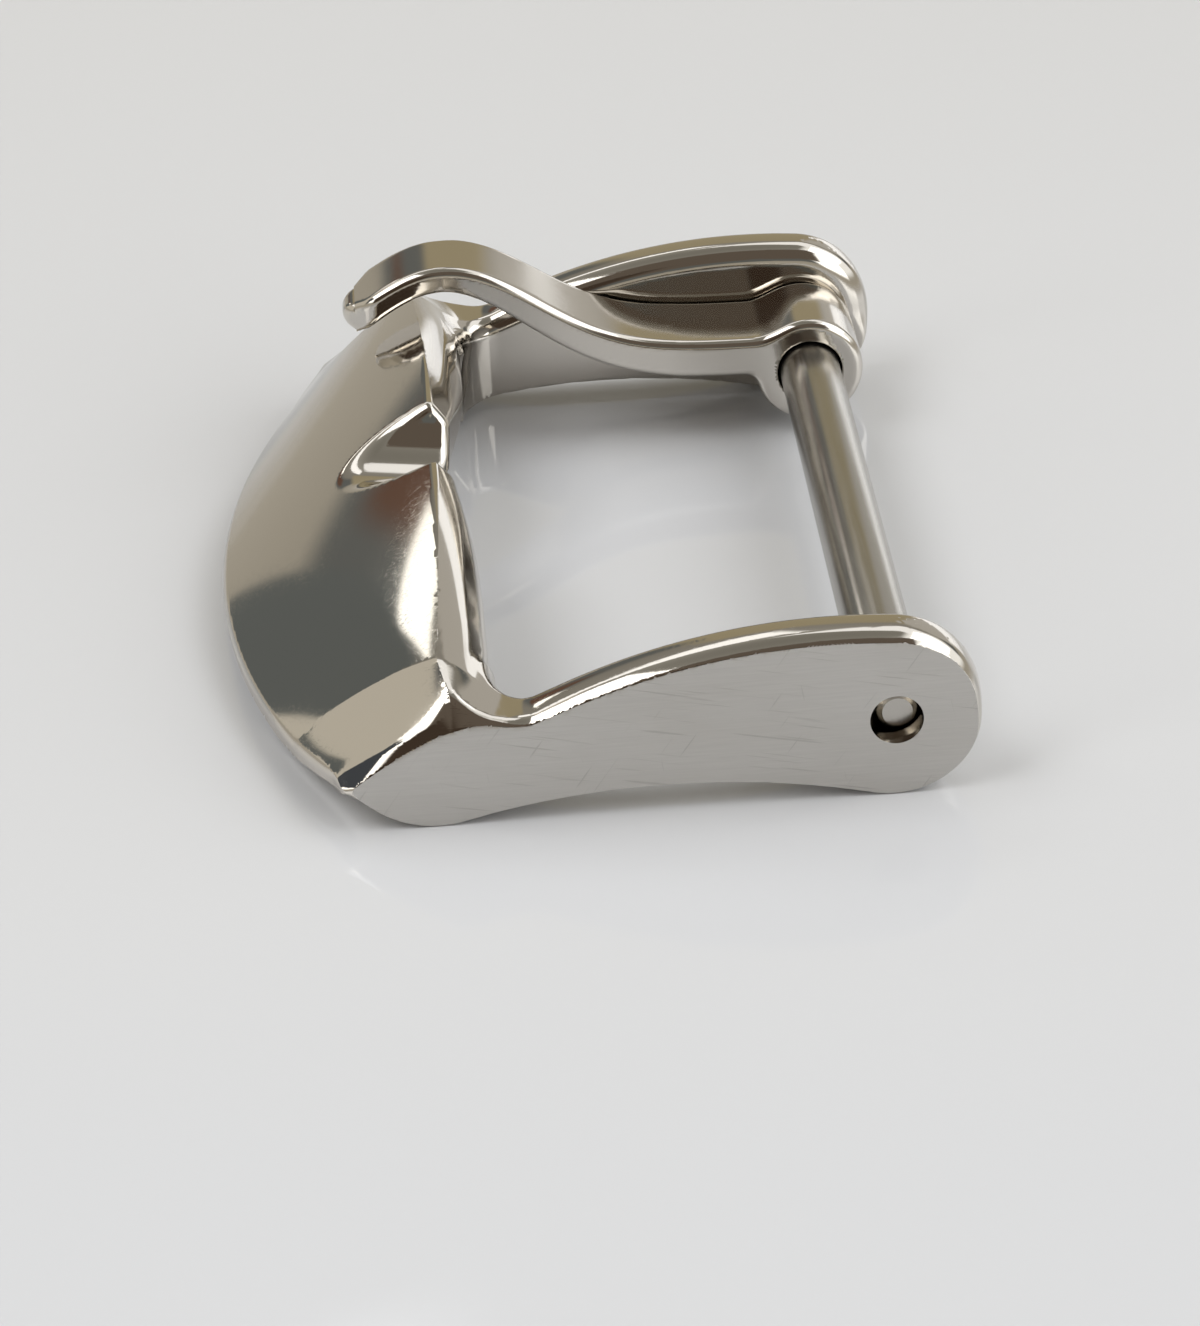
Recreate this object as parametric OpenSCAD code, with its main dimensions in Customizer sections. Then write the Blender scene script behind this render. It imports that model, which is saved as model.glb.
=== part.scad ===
// Watch strap buckle with a swinging tongue on a sprung bar.
// X runs from the crossbar at the front to the bar at the back, Y along the bar, Z up.
// The buckle lies on the rounded bottoms of its two arms, at Z = 0.

/* [Strap] */
// Width between the arms, which is the width of the strap
strap_w = 18; // [14:0.5:22]
// Length of the strap opening, from the crossbar to the axis of the bar holes
opening_l = 8.15; // [7.8:0.05:9]

/* [Arms] */
// Thickness of each arm
arm_t = 1.2; // [1:0.05:1.6]
// Radius of the round lobe at the bar end of each arm
lobe_r = 1.84; // [1.7:0.02:2.1]
// How far the lobe's centre lies in front of the bar hole
lobe_setback = 0.07; // [0:0.01:0.2]
// Height of the axis of the bar holes
hole_z = 1.72; // [1.6:0.02:2]
// Diameter of the bar holes
hole_d = 1.08; // [1:0.02:1.3]
// Radius of the long convex back of each arm
back_r = 14; // [12:0.5:18]
// Distance from the bar hole to the highest point of the back
back_x = 1.2; // [0.8:0.1:2]
// Radius of the dip between the back and the crossbar
dip_r = 0.9; // [0.7:0.05:1.1]
// Distance from the crossbar's inner edge to the bottom of the dip
dip_setback = 0.55; // [0.4:0.05:0.7]
// Height of the low arch under each arm
arch_h = 0.58; // [0.4:0.02:0.7]
// Radius of the rounded toe under the front of each arm
toe_r = 2; // [1.8:0.05:2.3]
// Radius in plan of the corners between the arms and the crossbar
corner_r = 1; // [0.6:0.1:1.4]

/* [Crossbar] */
// Length of the crossbar along X at its middle
crossbar_l = 5.5; // [5:0.05:6]
// How far its front edge bows out between the arms
front_bow = 2.6; // [2:0.1:3.2]
// Height of its front edge
front_z = 0.8; // [0.6:0.02:1]
// Height of its ridge at the middle
ridge_z = 3.95; // [3.8:0.05:4.1]
// Distance from its inner edge to the ridge
ridge_setback = 0.65; // [0.5:0.05:0.8]
// How far the ridge's ends lie in front of its middle
ridge_bow = 0.3; // [0:0.05:0.4]
// Radius of the ridge's arch from arm to arm
span_r = 54; // [46:1:90]
// How far the polished panel rises above a flat one
panel_crown = 0.25; // [0.1:0.01:0.35]
// Height of the sharp front tip of each arm
tip_z = 1.08; // [0.9:0.02:1.2]
// Height of the ridge's end at the outer face of each arm
ridge_end_z = 2.55; // [2.4:0.05:2.8]
// Width of the ground facet beside the panel, at the ridge
facet_w = 1.2; // [0.8:0.1:1.6]
// Width of the same facet at the front edge
facet_front_w = 2.4; // [1.6:0.1:2.8]
// Height of the front edge's rim
rim_t = 0.3; // [0.2:0.01:0.35]
// Depth of the hollow that the tongue's rest makes in the inner edge
recess_d = 0.45; // [0.2:0.05:0.5]
// Half the length of that hollow along the ridge
recess_l = 3; // [2:0.5:4]
// Drop of the narrow strip behind the ridge
strip_drop = 0.18; // [0.1:0.02:0.25]
// Drop of the steep inner face below the ridge
inner_drop = 1.3; // [1:0.05:1.4]
// Depth of the crossbar's inner part, below its inner face
rail_h = 0.75; // [0.6:0.05:0.9]

/* [Tongue rest] */
// Radius of the groove that takes the tongue's tip
groove_r = 1.35; // [1.3:0.05:1.7]
// Height of the groove's floor at the inner edge
groove_z = 2.6; // [2.5:0.05:2.8]
// Rise of the groove's floor towards the front, in degrees
groove_rise = 7; // [4:0.5:9]

/* [Tongue] */
// Width of the tongue
tongue_w = 2.4; // [1.8:0.1:2.6]
// Width of the tongue at its tip
tongue_tip_w = 1.9; // [1.5:0.1:2.3]
// Thickness of the tongue beside its eye
tongue_t = 0.9; // [0.7:0.05:0.95]
// Thickness of the tongue over the crossbar and at its tip
tongue_tip_t = 0.6; // [0.5:0.02:0.7]
// Reach of the tongue's tip from the bar
tongue_l = 10.7; // [10.5:0.05:10.9]
// Height of the middle of the tongue's straight part
tongue_z = 2.06; // [1.95:0.01:2.15]
// Outer diameter of the tongue's eye
eye_d = 2.5; // [2.3:0.05:2.7]
// Gap between the resting tongue and the arm beside it
tongue_side_gap = 0.15; // [0.1:0.05:0.4]
// Gap between the tongue and the crossbar's ridge as it slides along the bar
tongue_rest_gap = 0.05; // [0.03:0.01:0.1]

/* [Bar] */
// Outer diameter of the bar's tube
tube_d = 1.4; // [1.3:0.05:1.5]
// Wall of the tube
tube_wall = 0.15; // [0.12:0.01:0.18]
// Gap between each end of the tube and its arm
tube_end_gap = 0.06; // [0.04:0.01:0.15]
// Running gap round the tube in the tongue's eye
eye_gap = 0.05; // [0.03:0.01:0.08]
// Diameter of the pip that enters each arm
pip_d = 0.82; // [0.7:0.02:0.86]
// How far the pip's end lies inside the arm's outer face
pip_recess = 0.45; // [0.3:0.05:0.6]
// Length of the plunger's wide part inside the tube
plunger_l = 1.6; // [1.3:0.1:2]
// Sliding gap round the plunger
slide_gap = 0.03; // [0.02:0.01:0.05]
// Wire diameter of the spring
spring_wire = 0.16; // [0.12:0.02:0.18]
// Turns of the spring
spring_turns = 24; // [16:1:30]

/* [Hidden] */
$fn = 96;

half_s = strap_w / 2;
half_w = half_s + arm_t;
cut = 1;

// Fixed points of an arm's side outline, as X from the bar hole and Z from the ground
front_x = -(opening_l + crossbar_l);
tip_x = front_x + front_bow;
ridge_x = -(opening_l + ridge_setback);
toe_c = [tip_x + sqrt(pow(toe_r, 2) - pow(toe_r - tip_z, 2)), toe_r];
lobe_c = [-lobe_setback, lobe_r];

// Arch circle, tangent to the toe and to the lobe
arch_x = (2 * arch_h * (toe_r - lobe_r) - pow(toe_c[0], 2) + pow(lobe_c[0], 2)) / (2 * (lobe_c[0] - toe_c[0]));
arch_r = (pow(arch_x - toe_c[0], 2) / arch_h - 2 * toe_r + arch_h) / 2;
arch_c = [arch_x, arch_h - arch_r];

// Back circle, which holds the lobe inside it, and dip circle, which lies outside it
back_c = [-back_x, lobe_c[1] - sqrt(pow(back_r - lobe_r, 2) - pow(back_x - lobe_setback, 2))];
dip_x = -(opening_l - dip_setback);
dip_c = [dip_x, back_c[1] + sqrt(pow(back_r + dip_r, 2) - pow(dip_x - back_c[0], 2))];
ridge_end = [ridge_x, ridge_end_z];

// Bar axis: its pips hang loose in the holes, low and to the back, by these shares of the play
pip_play = (hole_d - pip_d) / 2;
hang_x = 0.5;
hang_z = 0.6;
bar_x = hang_x * pip_play;
bar_z = hole_z - hang_z * pip_play;
tube_l = strap_w - 2 * tube_end_gap;
tube_bore_d = tube_d - 2 * tube_wall;
plunger_d = tube_bore_d - 2 * slide_gap;
lip_bore_d = pip_d + 2 * slide_gap;
lip_t = 0.25;
pip_end_y = half_w - pip_recess;
plunger_face_y = tube_l / 2 - lip_t;
plunger_back_y = plunger_face_y - plunger_l;
spring_gap = 0.03;
spring_l = 2 * (plunger_back_y - spring_gap);
spring_r = (plunger_d - spring_wire) / 2;

// Tongue at rest, near the far arm
tongue_y = half_s - tongue_side_gap - tongue_w / 2;
neck_x = -3;
hump_setback = 0.45;
hump_x = ridge_x + hump_setback;
hump_rise = 0.11;
hump_h = ridge_z + tongue_tip_t / 2 + tongue_rest_gap + hump_rise - tongue_z;
hump_spread = 2.05;

// The part's origin is the middle of its length
origin_x = (front_x + lobe_c[0] + lobe_r) / 2;

// Point on a circle, points along an arc, and the direction from one point to another
function on_circle(c, r, a) = [c[0] + r * cos(a), c[1] + r * sin(a)];
function arc(c, r, a0, a1, n) = [for (i = [0 : n]) on_circle(c, r, a0 + (a1 - a0) * i / n)];
function heading(p, q) = atan2(q[1] - p[1], q[0] - p[0]);

// Angle on a circle where the line from a point outside it touches it
function touch_angle(p, c, r) = heading(c, p) + acos(r / norm(p - c));

function side_outline() = concat(
    arc(toe_c, toe_r, heading(toe_c, [tip_x, tip_z]) + 360, heading(toe_c, arch_c) + 360, 12),
    arc(arch_c, arch_r, heading(arch_c, toe_c), heading(arch_c, lobe_c), 16),
    arc(lobe_c, lobe_r, heading(lobe_c, arch_c), heading(back_c, lobe_c), 32),
    arc(back_c, back_r, heading(back_c, lobe_c), heading(back_c, dip_c), 16),
    arc(dip_c, dip_r, heading(dip_c, back_c) + 360, touch_angle(ridge_end, dip_c, dip_r) + 360, 8),
    [ridge_end]
);

// The crossbar is lofted through sections that run from its front edge to its inner face.
// Section v is 0 at the middle and 1 just inside an arm, and facet_v is the facet's border.
facet_v = 0.9;
end_inset = 0.05;
end_y = half_w - end_inset;
end_front_inset = 0.1;
end_crown = 0.02;
end_strip_drop = 0.02;
end_inner_drop = 0.15;
// Share of the strip in the width behind the ridge
strip_share = 0.55;
// Underside: width and slant of the rail, and how deep the hollow behind the rim is at each share t
rail_w = 1.3;
rail_slant = 0.45;
hollow = [[0.68, 1.05], [0.3, 0.62]];
rim_tuck = 0.02;
end_rim_tuck = 0.15;
bow_r = (pow(half_w, 2) + pow(front_bow, 2)) / (2 * front_bow);
function across(v, inset) =
    abs(v) <= facet_v ? v / facet_v * (half_w - inset) : sign(v) * mix(half_w - inset, end_y, end_share(v));
function end_share(v) = max(0, (abs(v) - facet_v) / (1 - facet_v));
function mix(a, b, k) = a + (b - a) * k;
function front_point(v) =
    let (y = across(v, facet_front_w))
    [
        front_x + bow_r - sqrt(pow(bow_r, 2) - pow(y, 2)) + end_front_inset * end_share(v),
        y,
        mix(front_z, tip_z - end_inset, end_share(v))
    ];
function arch_z(y) = ridge_z - span_r + sqrt(pow(span_r, 2) - pow(y, 2));
function ridge_point(v) =
    let (y = across(v, facet_w))
    [
        ridge_x - ridge_bow * pow(v / facet_v, 2) * (1 - end_share(v)),
        y,
        mix(arch_z(y), ridge_end_z - end_inset, end_share(v))
    ];

// A point of section v: t is 0 at the front edge and 1 at the ridge, and drop is its depth below
function bar_point(v, t, drop) =
    mix(front_point(v), ridge_point(v), t)
    + [0, 0, 4 * mix(panel_crown, end_crown, end_share(v)) * t * (1 - t) - drop];
function inner_x(y) = -opening_l - recess_d * exp(-pow(y / recess_l, 2));
function strip_point(v) =
    let (p = ridge_point(v))
    [mix(p[0], inner_x(p[1]), strip_share), p[1], p[2] - mix(strip_drop, end_strip_drop, end_share(v))];
function inner_point(v, back, drop) =
    let (p = ridge_point(v))
    [inner_x(p[1]) - back, p[1], p[2] - mix(inner_drop, end_inner_drop, end_share(v)) - drop];
panel_steps = 8;
function bar_section(v) = concat(
    [for (i = [0 : panel_steps]) bar_point(v, i / panel_steps, 0)],
    [strip_point(v), inner_point(v, 0, 0), inner_point(v, rail_slant, rail_h), inner_point(v, rail_w, rail_h)],
    [for (h = hollow) bar_point(v, h[0], h[1])],
    [bar_point(v, mix(rim_tuck, end_rim_tuck, end_share(v)), rim_t)]
);

// Middle line of the tongue from the bar to its tip, and half its thickness there
function tongue_line(x) = tongue_z + hump_h * exp(-pow((x - hump_x) / hump_spread, 2) / 2);
function tongue_half_t(x) =
    let (k = max(0, min(1, (x - neck_x) / (hump_x - neck_x))))
    (tongue_t + (tongue_tip_t - tongue_t) * k) / 2;
function tongue_normal(x) =
    let (slope = (tongue_line(x + 0.01) - tongue_line(x - 0.01)) / 0.02)
    [-slope, 1] / norm([slope, 1]);
tongue_end_x = -(tongue_l - tongue_tip_t / 2);
tongue_steps = 30;
function tongue_x(i) = tongue_end_x * i / tongue_steps;
function tongue_edge(x, side) = [x, tongue_line(x)] + side * tongue_half_t(x) * tongue_normal(x);
tip_turn = heading([0, 0], tongue_normal(tongue_end_x));
function tongue_outline() = concat(
    [for (i = [0 : tongue_steps]) tongue_edge(tongue_x(i), 1)],
    arc([tongue_end_x, tongue_line(tongue_end_x)], tongue_tip_t / 2, tip_turn, tip_turn + 180, 8),
    [for (i = [tongue_steps : -1 : 0]) tongue_edge(tongue_x(i), -1)]
);

// Puts a shape that is drawn about the bar hole into the part's own place
module in_place() {
    translate([-origin_x, 0, 0]) children();
}

// A side outline made solid between two planes across Y
module slab(y0, y1) {
    translate([0, y1, 0]) rotate([90, 0, 0]) linear_extrude(y1 - y0) children();
}

// A rod along Y between two planes
module rod(d, y0, y1) {
    translate([0, y1, 0]) rotate([90, 0, 0]) cylinder(h = y1 - y0, d = d);
}

module arm() {
    slab(half_s, half_w) polygon(side_outline());
}

// Fills the corner between an arm and the crossbar, leaving a round in plan
module corner_web() {
    intersection() {
        slab(half_s - corner_r, half_s) polygon(side_outline());
        translate([-opening_l - cut, half_s - corner_r, -cut]) difference() {
            cube([corner_r + cut, corner_r, ridge_z + 2 * cut]);
            translate([corner_r + cut, 0, 0]) cylinder(h = ridge_z + 2 * cut, r = corner_r);
        }
    }
}

module crossbar() {
    middle_steps = 12;
    sections = concat(
        [bar_section(-1)],
        [for (i = [-middle_steps : middle_steps]) bar_section(facet_v * i / middle_steps)],
        [bar_section(1)]
    );
    n = len(sections[0]);
    last = len(sections) - 1;
    walls = [
        for (i = [0 : last - 1], j = [0 : n - 1])
            let (a = i * n + j, b = i * n + (j + 1) % n)
            each [[b, a, a + n], [b, a + n, b + n]]
    ];
    near_end = [for (j = [0 : n - 1]) j];
    far_end = [for (j = [n - 1 : -1 : 0]) last * n + j];
    polyhedron([for (s = sections) each s], concat(walls, [near_end, far_end]), convexity = 6);
}

module frame() {
    color("silver") in_place() difference() {
        union() {
            crossbar();
            for (side = [0, 1]) mirror([0, side, 0]) {
                arm();
                corner_web();
            }
        }
        translate([0, 0, hole_z]) rod(hole_d, -half_w - cut, half_w + cut);
        translate([-opening_l, 0, groove_z + groove_r]) rotate([0, 90 + groove_rise, 0])
            cylinder(h = 2 * crossbar_l, r = groove_r, center = true);
    }
}

module tongue() {
    eye_bore_d = tube_d + 2 * eye_gap;
    corner = tongue_tip_w / 3;
    color("silver") in_place() translate([0, tongue_y, 0]) difference() {
        union() {
            intersection() {
                slab(-tongue_w / 2, tongue_w / 2) polygon(tongue_outline());
                linear_extrude(ridge_z + 3 * cut) polygon([
                    [0, -tongue_w / 2],
                    [0, tongue_w / 2],
                    [neck_x, tongue_w / 2],
                    [hump_x, tongue_tip_w / 2],
                    [-tongue_l + corner, tongue_tip_w / 2],
                    [-tongue_l, tongue_tip_w / 2 - corner],
                    [-tongue_l, -tongue_tip_w / 2 + corner],
                    [-tongue_l + corner, -tongue_tip_w / 2],
                    [hump_x, -tongue_tip_w / 2],
                    [neck_x, -tongue_w / 2]
                ]);
            }
            translate([bar_x, 0, bar_z]) rod(eye_d, -tongue_w / 2, tongue_w / 2);
        }
        translate([bar_x, 0, bar_z]) rod(eye_bore_d, -tongue_w, tongue_w);
    }
}

// A thin tube, spun in at both ends to hold the plungers
module bar_tube() {
    color("gray") in_place() translate([bar_x, 0, bar_z]) difference() {
        rod(tube_d, -tube_l / 2, tube_l / 2);
        rod(tube_bore_d, -tube_l / 2 + lip_t, tube_l / 2 - lip_t);
        rod(lip_bore_d, -tube_l / 2 - cut, tube_l / 2 + cut);
    }
}

// The plunger of the +Y end: a wide guide inside the tube and a pip with a bevelled end
module plunger() {
    bevel = pip_d / 8;
    translate([bar_x, 0, bar_z]) rotate([-90, 0, 0]) rotate_extrude() polygon([
        [0, plunger_back_y],
        [plunger_d / 2, plunger_back_y],
        [plunger_d / 2, plunger_face_y],
        [pip_d / 2, plunger_face_y],
        [pip_d / 2, pip_end_y - bevel],
        [pip_d / 2 - bevel, pip_end_y],
        [0, pip_end_y]
    ]);
}

module plunger_far() {
    color("silver") in_place() plunger();
}

module plunger_near() {
    color("silver") in_place() mirror([0, 1, 0]) plunger();
}

// Rings of the spring's wire, one after another along its helix
spring_sides = 6;
spring_rings = 8;
spring_count = spring_turns * spring_rings;
spring_pitch = (spring_l - spring_wire) / spring_turns;
function spring_ring(i) = [
    for (j = [0 : spring_sides - 1])
        let (a = 360 * i / spring_rings, b = 360 * j / spring_sides, r = spring_r + spring_wire / 2 * cos(b))
        [r * cos(a), spring_pitch * i / spring_rings + spring_wire / 2 * sin(b) - (spring_l - spring_wire) / 2, r * sin(a)]
];

module bar_spring() {
    points = [for (i = [0 : spring_count]) each spring_ring(i)];
    walls = [
        for (i = [0 : spring_count - 1], j = [0 : spring_sides - 1])
            let (a = i * spring_sides + j, b = i * spring_sides + (j + 1) % spring_sides)
            each [[a, b, a + spring_sides], [b, b + spring_sides, a + spring_sides]]
    ];
    first = [for (j = [spring_sides - 1 : -1 : 0]) j];
    last = [for (j = [0 : spring_sides - 1]) spring_count * spring_sides + j];
    color("dimgray") in_place() translate([bar_x, 0, bar_z])
        polyhedron(points, concat(walls, [first, last]), convexity = 10);
}

frame();
tongue();
bar_tube();
plunger_near();
plunger_far();
bar_spring();
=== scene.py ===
"""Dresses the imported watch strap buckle: polished steel, studio floor, light and camera."""

import math

import bmesh
import bpy
import numpy as np
from mathutils import Matrix, Vector


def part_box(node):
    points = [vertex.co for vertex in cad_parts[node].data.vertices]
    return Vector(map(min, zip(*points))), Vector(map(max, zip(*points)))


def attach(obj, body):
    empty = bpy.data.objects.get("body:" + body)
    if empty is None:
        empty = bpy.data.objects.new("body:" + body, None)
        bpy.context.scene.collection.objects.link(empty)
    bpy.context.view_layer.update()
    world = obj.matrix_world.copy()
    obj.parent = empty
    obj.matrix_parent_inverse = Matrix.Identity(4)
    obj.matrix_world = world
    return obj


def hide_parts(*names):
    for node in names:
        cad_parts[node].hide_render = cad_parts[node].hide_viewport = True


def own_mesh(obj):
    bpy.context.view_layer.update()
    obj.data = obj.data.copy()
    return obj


bl_info = {
    "name": "Watch Strap Buckle",
    "version": (1, 0, 0),
    "blender": (4, 5, 0),
    "location": "3D View > Sidebar > Buckle",
    "description": "Builds the polished pieces of a watch strap buckle and a small studio round it",
    "category": "Add Mesh",
}

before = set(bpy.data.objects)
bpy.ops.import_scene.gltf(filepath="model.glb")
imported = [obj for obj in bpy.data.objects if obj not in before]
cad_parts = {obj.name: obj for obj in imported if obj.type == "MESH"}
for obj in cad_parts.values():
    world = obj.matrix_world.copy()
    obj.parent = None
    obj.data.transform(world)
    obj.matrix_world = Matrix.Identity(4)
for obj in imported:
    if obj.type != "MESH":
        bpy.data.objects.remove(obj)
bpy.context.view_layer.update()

MM = 0.001

# Where the bar hole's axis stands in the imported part, in millimetres. All shapes below are
# drawn from that axis in X, from the middle in Y and from the ground in Z.
HOLE_X = 5.94

# Driving sizes of the frame, the same as the part's. A circle is its centre's X and Z and its
# radius.
STRAP_W = 18.0
ARM_T = 1.2
OPENING_L = 8.15
CORNER_R = 1.0
# Arm's outline: hole, lobe round it, hollow of the back, dip before the ridge, arch below and toe
HOLE_Z = 1.72
HOLE_R = 0.54
LOBE = (-0.07, 1.84, 1.84)
BACK_R = 14.0
BACK_X = -1.2
DIP_SETBACK = 0.55
DIP_R = 0.9
ARCH_H = 0.58
TOE_R = 2.0
# Crossbar: its front edge in plan and height, its tip, its ridge and the radius of the ridge's arch
CROSSBAR_L = 5.5
FRONT_BOW = 2.6
FRONT_Z = 0.8
TIP_Z = 1.08
RIDGE_SETBACK = 0.65
RIDGE_Z = 3.95
RIDGE_BOW = 0.3
RIDGE_END_Z = 2.55
SPAN_R = 54.0
# Crown of its panel, drop of the strip behind the ridge, width of a facet at the ridge and at the
# front, thickness of the rim and depth of the window face
CROWN = 0.25
STRIP_DROP = 0.18
FACET_W = 1.2
FACET_FRONT_W = 2.4
RIM = 0.3
INNER_DROP = 1.3
# Round groove for the tongue's tip, which rises towards the front
GROOVE_R = 1.35
GROOVE_Z = 2.6
GROOVE_RISE = math.radians(7)

# The crossbar's edge along the window lies a little nearer the bar than in the part, with a
# shorter and deeper recess
EDGE_SHIFT = 0.1
RECESS_D = 0.5
RECESS_L = 2.7

HALF_STRAP = STRAP_W / 2
HALF_WIDTH = HALF_STRAP + ARM_T
ARM_MID = HALF_STRAP + ARM_T / 2
INNER_X = EDGE_SHIFT - OPENING_L
RIDGE_X = -(OPENING_L + RIDGE_SETBACK)
FRONT_X = -(OPENING_L + CROSSBAR_L)
DIP_X = -(OPENING_L - DIP_SETBACK)
TIP = (FRONT_X + FRONT_BOW, TIP_Z)
FACET_Y = HALF_WIDTH - FACET_W
FACET_FRONT_Y = HALF_WIDTH - FACET_FRONT_W

# Forms too fine for the part's solids. A pair of numbers gives the places between which a size
# eases in or out.
# Bevel along an arm's outer edge: its width at places along X, its rise over run at the tip, where
# that eases to 1, and the heights over which it comes in, at the tip and elsewhere
BEVEL_AT = (TIP[0], -9.87, -8.9, -8.4, -7.7, -6.2, -3.0, 0.6, 1.9)
BEVEL_W = (0.0, 0.12, 0.24, 0.19, 0.12, 0.18, 0.2, 0.22, 0.12)
BEVEL_STEEP = 1.8
BEVEL_EASE = (-8.6, -7.4)
BEVEL_Z_TIP = (0.95, 1.3)
BEVEL_Z = (0.7, 2.0)
# Crown of an arm's top: height, and where it comes in, in Z and in X
ARM_CROWN = 0.09
ARM_CROWN_Z = (1.2, 2.0)
ARM_CROWN_X = (-7.9, -6.6)
# Radius of an arm's inner edge, low down and at its top, and the heights between
ARM_EDGE_LOW, ARM_EDGE_TOP = 0.04, 0.4
ARM_EDGE_Z = (1.0, 2.0)
# Soft bends of the ridge and of the panel where the facet begins
CREST_SOFT = 0.08
BORDER_SOFT = 0.012
# Narrow second facet beside the outer face: where it settles in slope and ends in width, slopes,
# width at the tip, and how far it lifts the tip's corner
TIP_FACET_AT = (-10.0, -9.3)
TIP_FACET_SLOPE = (0.72, 0.6)
TIP_FACET_W = 0.38
TIP_LIFT = 0.12
# Edge of the strip along the ridge, how far it bows at its middle and ends, and its drop there
STRIP_X = -8.6
STRIP_BOW = 0.06
STRIP_BOW_L = 3.1
STRIP_END = (7.0, 9.6)
STRIP_DROP_END = 0.02
# Slope of the face below the strip, and direction of the rail under the window's edge
LEAN = 1.5
RAIL = (0.51, 0.86)
# Thickness of the crossbar at places from its front edge, 0, to its ridge, 1
THICK_AT = (-0.2, 0.02, 0.3, 0.68, 0.9)
THICKNESS = (RIM, RIM, 0.62, 1.05, 2.05)
# Cosines that turn a height above a sloping face into a distance from it
PANEL_COS = 0.8
STRIP_COS = 0.93
FRONT_COS = 0.93
TIP_FACET_COS = 0.75
# Radii of the edges, and size of the web between arm and crossbar
RIDGE_R = 0.005
TIP_FACET_R = 0.03
LEAN_R = 0.2
WINDOW_R = 0.12
FRONT_R = 0.08
BEVEL_R = 0.08
SIDE_R = 0.01
GROOVE_EDGE_R = 0.2
WEB = 0.45
# The ridge's ends on an arm's outer side: radius, and how far from the ridge that fades out
RIDGE_END_R = 0.6
RIDGE_END_REACH = (0.6, 1.4)

# Bar: its tube and the lip spun in at each end, a plunger's length, the play between what slides
# and how deep a pip stays below the arm's outer face
TUBE_R = 0.7
TUBE_WALL = 0.15
TUBE_END_GAP = 0.06
LIP_T = 0.25
LIP_ROLL = 0.08
PLUNGER_L = 1.6
FACE_GAP = 0.01
SLIDE_GAP = 0.03
PIP_R = 0.41
PIP_RECESS = 0.45
PIP_BEVEL = 0.1
# Share of the play in its hole by which a pip hangs off the middle, in X and in Z
HANG = (0.5, -0.6)

BAR_X = HANG[0] * (HOLE_R - PIP_R)
BAR_Z = HOLE_Z + HANG[1] * (HOLE_R - PIP_R)
TUBE_END = HALF_STRAP - TUBE_END_GAP
TUBE_BORE_R = TUBE_R - TUBE_WALL
LIP_R = PIP_R + SLIDE_GAP
PLUNGER_R = TUBE_BORE_R - SLIDE_GAP
PLUNGER_FACE = TUBE_END - LIP_T - FACE_GAP
PLUNGER_BACK = TUBE_END - LIP_T - PLUNGER_L
PIP_TIP = HALF_WIDTH - PIP_RECESS

# Spring inside the bar: wire, turns in a half, and how far a plunger presses it
SPRING_WIRE = 0.16
SPRING_TURNS = 12
SPRING_HALF = PLUNGER_BACK - SLIDE_GAP
SPRING_R = PLUNGER_R - SPRING_WIRE / 2

# Tongue, with the part's own sizes: height of its straight part, tip, widths and thicknesses,
# where it begins to narrow, its hump over the ridge and its gaps to what it rests against
TONGUE_Z = 2.06
TONGUE_TIP = -10.7
TONGUE_HALF_W, TONGUE_TIP_HALF_W = 1.2, 0.95
TONGUE_HALF_T, TONGUE_TIP_HALF_T = 0.45, 0.3
NECK_X = -3.0
HUMP_SETBACK = 0.45
HUMP_SPREAD = 2.05
SIDE_GAP = 0.15
REST_GAP = 0.05
SLIDE_LIFT = 0.11
EYE_R = 1.25
EYE_GAP = 0.05

# How far along X the strip's line is followed. The strip itself ends at the hole's axis
TONGUE_ROOT = 1.0
TONGUE_Y = HALF_STRAP - SIDE_GAP - TONGUE_HALF_W
TONGUE_END = TONGUE_TIP + TONGUE_TIP_HALF_T
HUMP_X = RIDGE_X + HUMP_SETBACK
HUMP_H = RIDGE_Z + TONGUE_TIP_HALF_T + REST_GAP + SLIDE_LIFT - TONGUE_Z
EYE_BORE_R = TUBE_R + EYE_GAP
# Its tip's corner cuts, its rounded edges and the web at its eye
TONGUE_CORNER = 0.63
TONGUE_CORNER_R = 0.15
TONGUE_EDGE_R = 0.2
EYE_EDGE_R = 0.05
EYE_WEB = 0.35

# Corners of the boxes in which frame and tongue are meshed, just outside them and off round
# sizes, so that no flat face lies on the grid
FRAME_BOX = ((FRONT_X - 0.11, -HALF_WIDTH - 0.1237, -0.1131), (1.95, HALF_WIDTH + 0.13, 4.05))
TONGUE_BOX = ((-10.93, 6.31, 0.21), (1.52, 8.99, 4.93))
# Mesher: pull of a vertex to the mean of its crossings, how far it may leave its cell's middle in
# cells, and the cosines over which a face counts as flat and a vertex as smooth
MEAN_PULL = 0.02
CELL_REACH = 0.55
FLAT_COS = 0.99
SMOOTH_COS = 0.955
# How deep below an arm's outer face a face of the mesh still counts as brushed
BRUSHED_DEPTH = 0.008
# Edges of a turned piece that bend by more than this stay crisp
CRISP = math.radians(25)


def mix(a, b, k):
    return a + (b - a) * k


def smoothstep(a, b, v):
    t = np.clip((v - a) / (b - a), 0, 1)
    return t * t * (3 - 2 * t)


def round_and(a, b, r):
    """What lies inside both a and b, with the edge between them rounded to radius r."""
    return np.minimum(np.maximum(a, b), -r) + np.hypot(np.maximum(a + r, 0), np.maximum(b + r, 0))


def ease_or(a, b, k):
    """What lies inside a or b, with a soft web of size k between them."""
    h = np.clip(0.5 + 0.5 * (b - a) / k, 0, 1)
    return mix(b, a, h) - k * h * (1 - h)


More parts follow.
